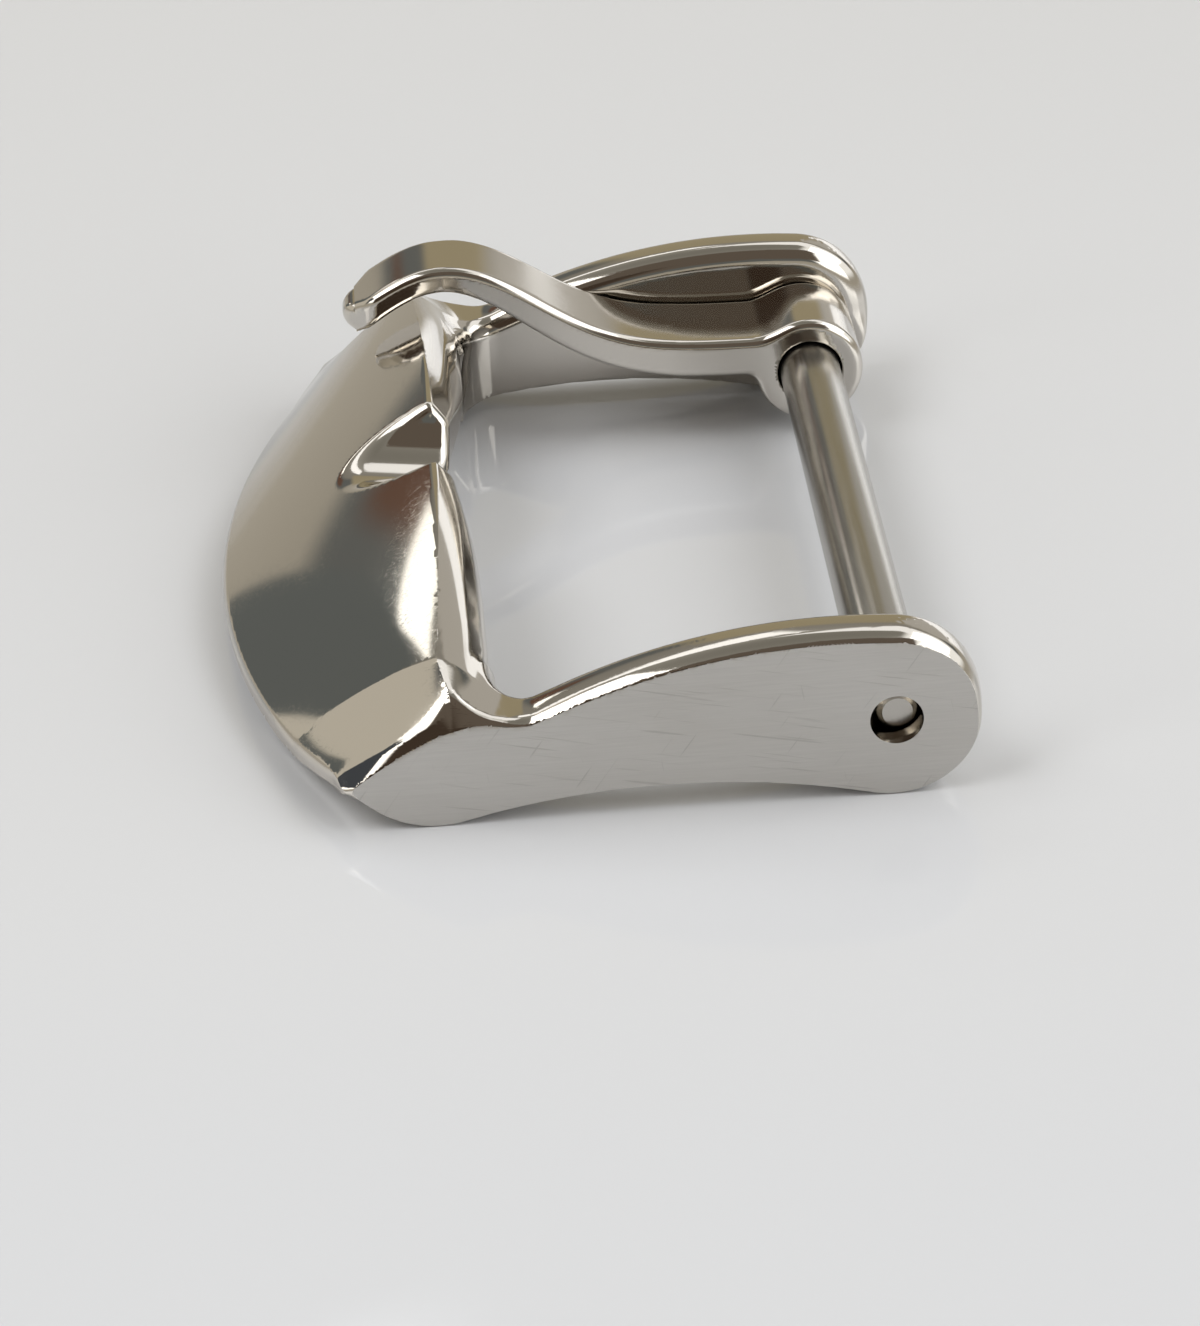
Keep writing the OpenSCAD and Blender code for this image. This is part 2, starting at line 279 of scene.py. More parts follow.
class ArmOutline:
    """The side outline of an arm: toe, arch, lobe, back, dip and the straight run to the tip."""

    ARC_STEPS = 40

    def __init__(self):
        toe = (TIP[0] + math.sqrt(TOE_R**2 - (TOE_R - TIP[1]) ** 2), TOE_R, TOE_R)
        # the arch touches toe and lobe from outside, and ARCH_H is its height above the ground
        (tx, _, rt), (lx, lz, rl), h = toe, LOBE, ARCH_H
        ax = (2 * h * (rt - rl) - tx * tx + lx * lx) / (2 * (lx - tx))
        ar = ((ax - tx) ** 2 / h - 2 * rt + h) / 2
        arch = (ax, h - ar, ar)
        # the back has the lobe within it, and the dip touches the back from outside
        back_z = lz - math.sqrt((BACK_R - rl) ** 2 - (BACK_X - lx) ** 2)
        back = (BACK_X, back_z, BACK_R)
        dip_z = back_z + math.sqrt((BACK_R + DIP_R) ** 2 - (DIP_X - BACK_X) ** 2)
        dip = (DIP_X, dip_z, DIP_R)
        # from the dip a straight edge runs to the end of the ridge, and another to the tip
        ridge = (RIDGE_X, RIDGE_END_Z)
        to = np.array(ridge) - np.array(dip[:2])
        turn = math.atan2(to[1], to[0]) + math.acos(DIP_R / np.linalg.norm(to))
        touch = (DIP_X + DIP_R * math.cos(turn), dip_z + DIP_R * math.sin(turn))
        toe_arch, lobe_arch = self.meet(toe, arch), self.meet(LOBE, arch)
        back_lobe, back_dip = self.meet(back, LOBE), self.meet(back, dip)
        self.arcs = [
            (toe, TIP, toe_arch),
            (arch, toe_arch, lobe_arch),
            (LOBE, lobe_arch, back_lobe),
            (back, back_lobe, back_dip),
            (dip, back_dip, touch),
        ]
        self.lines = [(touch, ridge), (ridge, TIP)]
        # directions away from the arm along its two straight edges at the ridge
        self.at_ridge = [
            ((q[1] - p[1]) / math.dist(p, q), (p[0] - q[0]) / math.dist(p, q))
            for p, q in self.lines[::-1]
        ]
        points = []
        for circle, p, q in self.arcs:
            cx, cz, r = circle
            start, turn = self.sweep(circle, p, q)
            for i in range(self.ARC_STEPS):
                a = start + turn * i / self.ARC_STEPS
                points.append((cx + r * math.cos(a), cz + r * math.sin(a)))
        self.polygon = np.array([*points, touch, ridge])

    @staticmethod
    def meet(a, b):
        """Where circle a touches circle b, which lies outside it or is a smaller one within it."""
        v = np.array(b[:2]) - np.array(a[:2])
        v = v / np.linalg.norm(v)
        return (a[0] + v[0] * a[2], a[1] + v[1] * a[2])

    @staticmethod
    def sweep(circle, p, q):
        """Start and turn of the arc from p to q. Only the lobe's is over half a circle."""
        start = math.atan2(p[1] - circle[1], p[0] - circle[0])
        turn = math.atan2(q[1] - circle[1], q[0] - circle[0]) - start
        if circle is LOBE:
            return start, turn % (2 * math.pi)
        return start, (turn + math.pi) % (2 * math.pi) - math.pi

    def inside(self, x, z):
        result = np.zeros(x.shape, bool)
        p = self.polygon
        for (x0, z0), (x1, z1) in zip(p, np.roll(p, -1, axis=0)):
            if z0 == z1:
                continue
            result ^= ((z0 > z) != (z1 > z)) & (x < (x1 - x0) * (z - z0) / (z1 - z0) + x0)
        return result

    def distance(self, x, z):
        """Signed distance to the outline, below 0 inside it."""
        best = np.full(x.shape, np.inf)
        for circle, p, q in self.arcs:
            start, turn = self.sweep(circle, p, q)
            dx, dz = x - circle[0], z - circle[1]
            length = np.hypot(dx, dz) + 1e-12
            along = dx * math.cos(start + turn / 2) + dz * math.sin(start + turn / 2)
            beside = along / length >= math.cos(turn / 2)
            ends = np.minimum(np.hypot(x - p[0], z - p[1]), np.hypot(x - q[0], z - q[1]))
            best = np.minimum(best, np.where(beside, np.abs(length - circle[2]), ends))
        for p, q in self.lines:
            vx, vz = q[0] - p[0], q[1] - p[1]
            t = np.clip(((x - p[0]) * vx + (z - p[1]) * vz) / (vx * vx + vz * vz), 0, 1)
            best = np.minimum(best, np.hypot(x - p[0] - t * vx, z - p[1] - t * vz))
        return np.where(self.inside(x, z), -best, best)


OUTLINE = ArmOutline()
BOW_R = (HALF_WIDTH**2 + FRONT_BOW**2) / (2 * FRONT_BOW)


def front_x(y):
    """Plan of the crossbar's bowed front edge."""
    return FRONT_X + BOW_R - np.sqrt(np.maximum(BOW_R**2 - y * y, 1))


def ramp(v, soft):
    """v where it is above 0 and 0 below, with the bend between them softened."""
    return np.where(np.abs(v) < soft, (v + soft) ** 2 / (4 * soft), np.maximum(v, 0))


def crest_z(y):
    """Height of the ridge: arched between the facets, then down to the arm's outer face."""
    past = ramp(y - FACET_Y, CREST_SOFT)
    arch_z = RIDGE_Z - SPAN_R + np.sqrt(SPAN_R**2 - (y - past) ** 2)
    end_z = RIDGE_Z - SPAN_R + math.sqrt(SPAN_R**2 - FACET_Y**2)
    return arch_z + (RIDGE_END_Z - end_z) * past / FACET_W


def crest_x(y):
    """Plan of the ridge, which bows a little towards the window at its middle."""
    past = ramp(y - FACET_Y, CREST_SOFT)
    return RIDGE_X - RIDGE_BOW * ((y - past) / FACET_Y) ** 2 * (1 - past / FACET_W)


def inner_x(y):
    """Plan of the crossbar's inner edge, hollowed round the tongue's rest."""
    return INNER_X - RECESS_D * np.exp(-((y / RECESS_L) ** 2))


def top_z(x, y):
    """Height of the panel and the facet beside it, and how far a point is from front edge to ridge.

    Both are ruled along lines from the front edge to the ridge. Line v is 0 at the middle, 1 along
    the facet's border and 2 at the outer face of an arm, and the one through a point is found in
    a few steps.
    """
    v = np.clip(y / FACET_Y, 0, 2)
    for _ in range(6):
        end = ramp(v - 1, BORDER_SOFT)
        past = np.clip((v - 1) / (2 * BORDER_SOFT) + 0.5, 0, 1)
        yf = (v - end) * FACET_FRONT_Y + end * FACET_FRONT_W
        yr = (v - end) * FACET_Y + end * FACET_W
        xf, xr = front_x(yf), crest_x(yr)
        t = np.clip((x - xf) / (xr - xf), -0.2, 1.2)
        gain = mix(mix(FACET_FRONT_Y, FACET_Y, t), mix(FACET_FRONT_W, FACET_W, t), past)
        v = np.clip(v - 0.9 * (mix(yf, yr, t) - y) / gain, 0, 2.1)
    zf = FRONT_Z + (TIP[1] + TIP_LIFT - FRONT_Z) * end
    return mix(zf, crest_z(yr), t) + 4 * CROWN * np.maximum(1 - end, 0) * t * (1 - t), t


def arm_field(x, y, z, side):
    """An arm before its bevel: crowned along its top and rounded along the window."""
    crown = ARM_CROWN * np.clip((y - ARM_MID) / (ARM_T / 2), -1, 1) ** 2
    arm = side + crown * smoothstep(*ARM_CROWN_Z, z) * smoothstep(*ARM_CROWN_X, x)
    # the window's plan has rounded corners, and the arm reaches into them as a web
    qx, qy = INNER_X + CORNER_R - x, y - HALF_STRAP + CORNER_R
    corner = np.hypot(np.maximum(qx, 0), np.maximum(qy, 0)) - CORNER_R
    window = corner + np.minimum(np.maximum(qx, qy), 0)
    behind = np.clip(2 * (INNER_X - WEB - x), 0, 1)
    within = np.maximum(-window, HALF_STRAP - CORNER_R - y + behind)
    return round_and(arm, within, mix(ARM_EDGE_LOW, ARM_EDGE_TOP, smoothstep(*ARM_EDGE_Z, z)))


def crossbar_field(x, y, z):
    """The crossbar, and the skin of panel, facets and strip that bounds it from above."""
    top, t = top_z(x, y)
    xr, zr, xi = crest_x(y), crest_z(y), inner_x(y)
    bow = np.exp(-((y / STRIP_BOW_L) ** 2)) + smoothstep(*STRIP_END, y)
    strip_x = STRIP_X - STRIP_BOW * bow
    drop = mix(STRIP_DROP, STRIP_DROP_END, np.clip((y - FACET_Y) / FACET_W, 0, 1))
    strip = zr - drop * (x - xr) / (strip_x - xr)
    skin = round_and((z - top) * PANEL_COS, (z - strip) * STRIP_COS, RIDGE_R)
    # narrow second facet along the outer edge, widest at the tip
    slope = np.interp(x, [TIP[0], TIP_FACET_AT[0]], TIP_FACET_SLOPE)
    width = np.interp(x, [TIP[0], TIP_FACET_AT[1]], [TIP_FACET_W, 0.0])
    narrow = (z - top + slope * (y - HALF_WIDTH + width)) * TIP_FACET_COS
    skin = np.where(y > FACET_Y, round_and(skin, narrow, TIP_FACET_R), skin)
    # face below the strip, then window face and front edge
    lean = (z - (zr - drop) + LEAN * (x - strip_x)) / math.hypot(1, LEAN)
    bar = round_and(skin, lean, LEAN_R)
    bar = round_and(bar, x - xi, WINDOW_R)
    bar = round_and(bar, (front_x(y) - x) * FRONT_COS, FRONT_R)
    # hollow underside, with a sloping rail under the window's edge
    under = np.where(t < 1, top, zr) - np.interp(t, THICK_AT, THICKNESS)
    bar = np.maximum(bar, (under - z) * PANEL_COS)
    bar = np.maximum(bar, (zr - INNER_DROP - z) * RAIL[0] + (x - xi) * RAIL[1])
    return bar, skin


def bevel_field(x, y, z, side):
    """Bevel along an arm's outer edge. It runs softly round the end of the ridge."""
    width = np.interp(x, BEVEL_AT, BEVEL_W)
    width = width * np.where(x < DIP_X, smoothstep(*BEVEL_Z_TIP, z), smoothstep(*BEVEL_Z, z))
    steep = mix(BEVEL_STEEP, 1.0, smoothstep(*BEVEL_EASE, x))
    front, rear = (n[0] * (x - RIDGE_X) + n[1] * (z - RIDGE_END_Z) for n in OUTLINE.at_ridge)
    softer = round_and(front, rear, RIDGE_END_R) - np.maximum(front, rear)
    side = side + softer * (1 - smoothstep(*RIDGE_END_REACH, np.abs(x - RIDGE_X)))
    return (side + steep * (y - HALF_WIDTH) + width) / np.hypot(1, steep)


def frame_field(x, y, z):
    """Signed distance, near enough, to the steel frame: two arms, crossbar, groove and holes."""
    y = np.abs(y)
    side = OUTLINE.distance(x, z)
    bar, skin = crossbar_field(x, y, z)
    solid = ease_or(arm_field(x, y, z, side), bar, WEB)
    # nothing stands above the panel and facet
    solid = np.maximum(solid, skin - 4 * np.maximum(x - crest_x(y), 0))
    solid = round_and(solid, bevel_field(x, y, z, side), BEVEL_R)
    solid = round_and(solid, y - HALF_WIDTH, SIDE_R)
    # groove for the tongue's tip
    groove_z = GROOVE_Z + GROOVE_R - (x - INNER_X) * math.tan(GROOVE_RISE)
    groove = np.hypot(y, (z - groove_z) * math.cos(GROOVE_RISE)) - GROOVE_R
    solid = round_and(solid, -groove, GROOVE_EDGE_R)
    return np.maximum(solid, HOLE_R - np.hypot(x, z - HOLE_Z))


def tongue_line(x):
    """Height of the tongue's middle line."""
    return TONGUE_Z + HUMP_H * np.exp(-(((x - HUMP_X) / HUMP_SPREAD) ** 2) / 2)


def tongue_field(x, y, z):
    """Signed distance, near enough, to the bent tongue and its eye."""
    y = np.abs(y - TONGUE_Y)
    xc = np.clip(x, TONGUE_END, TONGUE_ROOT)
    line = tongue_line(xc)
    slope = -(line - TONGUE_Z) * (xc - HUMP_X) / HUMP_SPREAD**2
    taper = np.clip((xc - NECK_X) / (HUMP_X - NECK_X), 0, 1)
    strip = np.abs(z - line) / np.sqrt(1 + slope * slope)
    strip = strip - mix(TONGUE_HALF_T, TONGUE_TIP_HALF_T, taper)
    tip = np.hypot(x - TONGUE_END, z - tongue_line(TONGUE_END)) - TONGUE_TIP_HALF_T
    strip = np.maximum(np.where(x < TONGUE_END, tip, strip), x)
    body = ease_or(strip, np.hypot(x - BAR_X, z - BAR_Z) - EYE_R, EYE_WEB)
    taper = np.clip((x - NECK_X) / (HUMP_X - NECK_X), 0, 1)
    body = round_and(body, y - mix(TONGUE_HALF_W, TONGUE_TIP_HALF_W, taper), TONGUE_EDGE_R)
    corner = (y - TONGUE_TIP_HALF_W + TONGUE_TIP - x + TONGUE_CORNER) * math.sqrt(0.5)
    body = round_and(body, corner, TONGUE_CORNER_R)
    return round_and(body, EYE_BORE_R - np.hypot(x - BAR_X, z - BAR_Z), EYE_EDGE_R)


def gradient(field, p, h=0.003):
    """Direction in which a field grows fastest, at each of many points."""
    out = np.empty_like(p)
    for axis in range(3):
        a, b = p.copy(), p.copy()
        a[:, axis] += h
        b[:, axis] -= h
        out[:, axis] = (field(*a.T) - field(*b.T)) / (2 * h)
    return out


def unit(v):
    return v / np.maximum(np.linalg.norm(v, axis=1, keepdims=True), 1e-12)


def crossings(field, low, step, values):
    """Where a field's zero surface crosses the edges of a grid.

    For each axis, gives the edges along it by their start, whether the start is inside, the points
    and the normals there.
    """
    inside = values < 0
    for axis in range(3):
        first, second = [slice(None)] * 3, [slice(None)] * 3
        first[axis], second[axis] = slice(0, -1), slice(1, None)
        starts_inside = inside[tuple(first)]
        at = np.argwhere(starts_inside != inside[tuple(second)])
        end = at.copy()
        end[:, axis] += 1
        va, vb = values[tuple(at.T)], values[tuple(end.T)]
        p = np.array(low) + at * step
        lo, hi = np.zeros(len(at)), np.ones(len(at))
        t = va / (va - vb)
        for _ in range(4):
            q = p.copy()
            q[:, axis] += t * step
            v = field(*q.T)
            same = (v < 0) == (va < 0)
            lo, hi = np.where(same, t, lo), np.where(same, hi, t)
            va, vb = np.where(same, v, va), np.where(same, vb, v)
            t = lo + (hi - lo) * np.clip(va / (va - vb + 1e-15), 0.05, 0.95)
        p[:, axis] += t * step
        yield axis, at, starts_inside[tuple(at.T)], p, unit(gradient(field, p))


def cells_round(axis, at):
    """The four cells round each of the grid's edges along an axis, in order round the edge."""
    u, w = [k for k in range(3) if k != axis]
    for du, dw in ((0, 0), (-1, 0), (-1, -1), (0, -1)):
        cell = at.copy()
        cell[:, u] += du
        cell[:, w] += dw
        yield tuple(cell.T)


def corner_normals(field, vertex, faces):
    """A normal for each corner of each face.

    It is the field's own direction at the vertex or, beside a sharp edge, on the face's own side.
    """
    corner = vertex[faces]
    normals = unit(gradient(field, vertex, 0.004))[faces]
    flat = unit(np.cross(corner[:, 1] - corner[:, 0], corner[:, 2] - corner[:, 0]))
    bent = (normals * flat[:, None, :]).sum(2).min(1) < FLAT_COS
    near = mix(corner[bent], corner[bent].mean(1, keepdims=True), 0.5).reshape(-1, 3)
    own = unit(gradient(field, near))
    shared = normals[bent].reshape(-1, 3)
    keep = (own * shared).sum(1) > SMOOTH_COS
    normals[bent] = np.where(keep[:, None], shared, own).reshape(-1, 3, 3)
    return normals.reshape(-1, 3)


def surface(field, low, high, step):
    """Meshes the zero surface of a field in cells of one size, with sharp edges kept.

    Each cell that the surface crosses gets one vertex, placed where the tangent planes at its
    crossed edges meet best. Returns vertices, triangles and a normal for each of their corners.
    """
    count = [int(math.ceil((b - a) / step)) + 1 for a, b in zip(low, high)]
    axes = [a + step * np.arange(n) for a, n in zip(low, count)]
    yy, zz = np.meshgrid(axes[1], axes[2], indexing="ij")
    values = np.array([field(np.full(yy.shape, x), yy, zz) for x in axes[0]])
    edges = list(crossings(field, low, step, values))

    index = np.full([n - 1 for n in count], -1)
    for axis, at, _, _, _ in edges:
        for around in cells_round(axis, at):
            index[around] = 0
    cell = np.argwhere(index == 0)
    index[tuple(cell.T)] = np.arange(len(cell))

    # the planes of a cell add up to a matrix and a vector, pulled lightly to their mean point
    matrix = np.zeros((len(cell), 3, 3))
    vector = np.zeros((len(cell), 3))
    mean = np.zeros((len(cell), 3))
    hits = np.zeros(len(cell))
    for axis, at, _, p, n in edges:
        planes = n[:, :, None] * n[:, None, :]
        offsets = n * (n * p).sum(1, keepdims=True)
        for around in cells_round(axis, at):
            k = index[around]
            np.add.at(matrix, k, planes)
            np.add.at(vector, k, offsets)
            np.add.at(mean, k, p)
            np.add.at(hits, k, 1)
    mean /= hits[:, None]
    matrix += MEAN_PULL * np.eye(3)
    vector += MEAN_PULL * mean
    vertex = np.linalg.solve(matrix, vector[:, :, None])[:, :, 0]
    centre = np.array(low) + (cell + 0.5) * step
    vertex = np.clip(vertex, centre - step * CELL_REACH, centre + step * CELL_REACH)

    quads = []
    for axis, at, starts_inside, _, _ in edges:
        quad = np.array([index[around] for around in cells_round(axis, at)]).T
        back = starts_inside == (axis == 1)
        quad[back] = quad[back][:, ::-1]
        quads.append(quad)
    quads = np.concatenate(quads)
    # each quad is cut along the diagonal that lies nearer the surface
    a, b, c, d = (vertex[quads[:, k]] for k in range(4))
    first = np.abs(field(*((a + c) / 2).T)) <= np.abs(field(*((b + d) / 2).T))
    one = np.where(first[:, None], quads[:, [0, 1, 2]], quads[:, [1, 2, 3]])
    two = np.where(first[:, None], quads[:, [0, 2, 3]], quads[:, [1, 3, 0]])
    faces = np.concatenate([one, two])
    return vertex, faces, corner_normals(field, vertex, faces)


def steel_object(name, node, vertices, faces, normals, materials, pick=None):
    """Makes a mesh object in the node's own place from a surface drawn in millimetres."""
    mesh = bpy.data.meshes.new(name)
    low, high = (np.array(v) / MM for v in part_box(node))
    points = np.clip(vertices + (HOLE_X, 0, 0), low, high)
    mesh.vertices.add(len(points))
    mesh.vertices.foreach_set("co", (points * MM).astype(np.float32).ravel())
    mesh.loops.add(faces.size)
    mesh.loops.foreach_set("vertex_index", faces.astype(np.int32).ravel())
    mesh.polygons.add(len(faces))
    mesh.polygons.foreach_set("loop_start", np.arange(0, faces.size, 3, dtype=np.int32))
    mesh.update(calc_edges=True)
    mesh.validate()
    mesh.polygons.foreach_set("use_smooth", np.ones(len(mesh.polygons), bool))
    if len(mesh.loops) == len(normals):
        mesh.normals_split_custom_set(normals.astype(np.float32).tolist())
    obj = link_mesh(name, mesh, materials[0])
    for m in materials[1:]:
        mesh.materials.append(m)
    if pick is not None:
        mesh.polygons.foreach_set("material_index", pick(vertices[faces].mean(1)).astype(np.int32))
    return obj


def link_mesh(name, mesh, material):
    mesh.materials.append(material)
    obj = bpy.data.objects.new(name, mesh)
    bpy.context.scene.collection.objects.link(obj)
    return obj


def on_bar(r, a, y):
    """Point at radius r, angle a and place y along the bar's axis."""
    return ((HOLE_X + BAR_X + r * math.cos(a)) * MM, y * MM, (BAR_Z + r * math.sin(a)) * MM)


def turned(name, profile, material, sides=128):
    """Turns a closed profile of (radius, y) points about the bar's axis, with crisp corners."""
    n = len(profile)
    points = [on_bar(r, 2 * math.pi * i / sides, y) for i in range(sides) for r, y in profile]
    faces = []
    for i in range(sides):
        k = (i + 1) % sides
        for j in range(n):
            m = (j + 1) % n
            if profile[j][0] > 0 or profile[m][0] > 0:
                faces.append((i * n + j, i * n + m, k * n + m, k * n + j))
    mesh = bpy.data.meshes.new(name)
    mesh.from_pydata(points, [], faces)
    bm = bmesh.new()
    bm.from_mesh(mesh)
    bmesh.ops.remove_doubles(bm, verts=bm.verts, dist=1e-8)
    bmesh.ops.dissolve_degenerate(bm, dist=1e-8, edges=bm.edges)
    bmesh.ops.recalc_face_normals(bm, faces=bm.faces)
    for f in bm.faces:
        f.smooth = True
    for e in bm.edges:
        if len(e.link_faces) == 2 and e.calc_face_angle(0) > CRISP:
            e.smooth = False
    bm.to_mesh(mesh)
    bm.free()
    return link_mesh(name, mesh, material)


def coil(name, side, material, sides=10, steps=40):
    """Winds one half of the spring, from the middle of the bar to a plunger."""
    pitch = (SPRING_HALF - SPRING_WIRE / 2) / SPRING_TURNS
    rings = SPRING_TURNS * steps + 1
    points, faces = [], []
    for i in range(rings):
        for j in range(sides):
            b = 2 * math.pi * j / sides
            r = SPRING_R + SPRING_WIRE / 2 * math.cos(b)
            y = pitch * i / steps + SPRING_WIRE / 2 * math.sin(b)
            points.append(on_bar(r, side * 2 * math.pi * i / steps, side * y))
    for i in range(rings - 1):
        for j in range(sides):
            k = (j + 1) % sides
            faces.append((i * sides + j, i * sides + k, (i + 1) * sides + k, (i + 1) * sides + j))
    faces.append(tuple(reversed(range(sides))))
    faces.append(tuple((rings - 1) * sides + j for j in range(sides)))
    mesh = bpy.data.meshes.new(name)
    mesh.from_pydata(points, [], faces)
    mesh.update()
    mesh.polygons.foreach_set("use_smooth", np.ones(len(mesh.polygons), bool))
    return link_mesh(name, mesh, material)


def tube_profile():
    """The tube's wall, with a lip spun in and rolled at each end."""
    roll = [
        (TUBE_R - LIP_ROLL + LIP_ROLL * math.sin(a), TUBE_END - LIP_ROLL + LIP_ROLL * math.cos(a))
        for a in np.linspace(0, math.pi / 2, 7)
    ]
    far = [(LIP_R, TUBE_END), *roll]
    near = [(r, -y) for r, y in reversed(far)]
    inner = TUBE_END - LIP_T
    bore = [(LIP_R, -inner), (TUBE_BORE_R, -inner), (TUBE_BORE_R, inner), (LIP_R, inner)]
    return [*far, *near, *bore]


def plunger_profile(side):
    """A plunger's wide guide and its pip, towards one side of the bar."""
    points = [
        (0, PLUNGER_BACK),
        (PLUNGER_R, PLUNGER_BACK),
        (PLUNGER_R, PLUNGER_FACE),
        (PIP_R, PLUNGER_FACE),
        (PIP_R, PIP_TIP - PIP_BEVEL),
        (PIP_R - PIP_BEVEL, PIP_TIP),
        (0, PIP_TIP),
    ]
    return [(r, side * y) for r, y in points]


# ---------------------------------------------------------------- materials


def linear(code):
    """Linear colour from an sRGB hex code."""
    parts = [int(code[i : i + 2], 16) / 255 for i in (1, 3, 5)]
    return [*(p / 12.92 if p <= 0.04045 else ((p + 0.055) / 1.055) ** 2.4 for p in parts), 1.0]


def add(tree, kind, links=(), **settings):
    """Adds a node, sets its properties or inputs, and links its inputs to other nodes' outputs."""
    node = tree.nodes.new(kind)
    for key, value in settings.items():
        if hasattr(node, key):
            setattr(node, key, value)
        else:
            node.inputs[key.replace("_", " ")].default_value = value
    for target, source in links:
        tree.links.new(source, node.inputs[target])
    return node


def new_material(name):
    material = bpy.data.materials.new(name)
    material.use_nodes = True
    material.node_tree.nodes.clear()
    return material


def noise(tree, scale, detail, roughness=0.5, **mapping):
    """Noise in a piece's own coordinates, with its scale in periods per metre along each axis."""
    place = add(tree, "ShaderNodeTexCoord")
    link = [("Vector", place.outputs["Object"])]
    spot = add(tree, "ShaderNodeMapping", link, Scale=scale, **mapping)
    link = [("Vector", spot.outputs["Vector"])]
    node = add(tree, "ShaderNodeTexNoise", link, Scale=1.0, Detail=detail, Roughness=roughness)
    return node.outputs["Fac"]


def span(tree, value, low, high, to_low=0.0, to_high=1.0):
    """Carries value from the range low to high over to another one, and holds it at both ends."""
    limits = {"From_Min": low, "From_Max": high, "To_Min": to_low, "To_Max": to_high}
    return add(tree, "ShaderNodeMapRange", [("Value", value)], **limits).outputs["Result"]


def bump(tree, height, strength, depth, below=None):
    """Bumps of a depth in metres, on top of those below them."""
    links = [("Height", height)] + ([("Normal", below)] if below is not None else [])
    return add(tree, "ShaderNodeBump", links, Strength=strength, Distance=depth).outputs["Normal"]


def blend(tree, share, low, high):
    """Colour between low, a colour or a socket, and high, a colour."""
    links = [("Factor", share)]
    if not isinstance(low, list):
        links.append((6, low))
    node = add(tree, "ShaderNodeMix", links, data_type="RGBA")
    if isinstance(low, list):
        node.inputs[6].default_value = low
    node.inputs[7].default_value = high
    return node.outputs[2]


def scaled(colour, share):
    """A colour made darker or, for a share above 1, brighter."""
    return [c * share for c in colour[:3]] + [1.0]


def polished_steel(name, code, roughness):
    """Stainless steel 316L, buffed on a wheel.

    It mirrors its surroundings, slightly warm, with fine hairline scratches from wear and a faint
    haze that comes and goes over a few millimetres.
    """
    material = new_material(name)
    tree = material.node_tree
    haze = noise(tree, (450, 450, 450), 4.0, 0.6)
    rough = span(tree, haze, 0.3, 0.75, roughness * 0.8, roughness * 1.5)
    normal = None
    # hairlines 0.04 mm apart
    for turn in (0.35, -0.9):
        hairs = noise(tree, (1500, 24000, 24000), 2.0, Rotation=(0.2, 0.3, turn))
        normal = bump(tree, span(tree, hairs, 0.62, 0.72), 0.05, 0.000004, normal)
    shade = add(
        tree,
        "ShaderNodeBsdfPrincipled",
        [("Roughness", rough), ("Normal", normal)],
        Base_Color=linear(code),
        Metallic=1.0,
    )
    add(tree, "ShaderNodeOutputMaterial", [("Surface", shade.outputs["BSDF"])])
    return material


def brushed_steel(name, code):
    """The same stainless steel, drawn along a fine belt.

    Short strokes 0.05 mm apart run along the arm and blur reflections across them, and a few
    deeper scratches show from handling.
    """
    material = new_material(name)
    tree = material.node_tree
    base = linear(code)
    strokes = noise(tree, (700, 20000, 20000), 4.0, 0.65)
    rough = span(tree, noise(tree, (300, 900, 900), 3.0), 0.25, 0.75, 0.3, 0.5)
    colour = blend(tree, span(tree, strokes, 0.3, 0.7), scaled(base, 0.92), base)
    normal = bump(tree, strokes, 0.12, 0.00001)
    # scratches: how they are turned, the level of the noise above which they show and its periods
    # per metre along them. A mapping of type TEXTURE turns first and divides by its scale.
    for turn, level, along in ((0.2, 0.65, 450), (-0.95, 0.69, 700), (1.4, 0.72, 900)):
        scale = (1 / along, 1 / 15000, 1 / 15000)
        lines = noise(tree, scale, 1.0, vector_type="TEXTURE", Rotation=(0, turn, 0))
        cut = span(tree, lines, level, level + 0.08)
        normal = bump(tree, cut, 0.3, 0.00001, normal)
        colour = blend(tree, cut, colour, scaled(base, 0.82))
    shade = add(
        tree,
        "ShaderNodeBsdfPrincipled",
        [("Base Color", colour), ("Roughness", rough), ("Normal", normal)],
        Metallic=1.0,
    )
    add(tree, "ShaderNodeOutputMaterial", [("Surface", shade.outputs["BSDF"])])
    return material


def satin_steel(name, code, roughness, along_bar=True):
    """Stainless tube and wire, drawn through a die.

    It is duller than the polished parts, with long faint draw lines along the bar.
    """
    material = new_material(name)
    tree = material.node_tree
    lines = noise(tree, (14000, 500, 14000) if along_bar else (6000, 6000, 6000), 3.0)
    rough = span(tree, lines, 0.3, 0.7, roughness * 0.85, roughness * 1.2)
    shade = add(
        tree,
        "ShaderNodeBsdfPrincipled",
        [("Roughness", rough), ("Normal", bump(tree, lines, 0.1, 0.000008))],
        Base_Color=linear(code),
        Metallic=1.0,
    )
    add(tree, "ShaderNodeOutputMaterial", [("Surface", shade.outputs["BSDF"])])
    return material


def studio_floor(name, code):
    """A sheet of glossy pale acrylic.

    It gives a soft, dim mirror image of the part close to where it lies.
    """
    material = new_material(name)
    tree = material.node_tree
    cloud = noise(tree, (60, 60, 60), 2.0)
    shade = add(
        tree,
        "ShaderNodeBsdfPrincipled",
        [("Roughness", span(tree, cloud, 0.3, 0.7, 0.03, 0.07))],
        Base_Color=linear(code),
        IOR=1.49,
    )
    add(tree, "ShaderNodeOutputMaterial", [("Surface", shade.outputs["BSDF"])])
    return material


# ---------------------------------------------------------------- settings


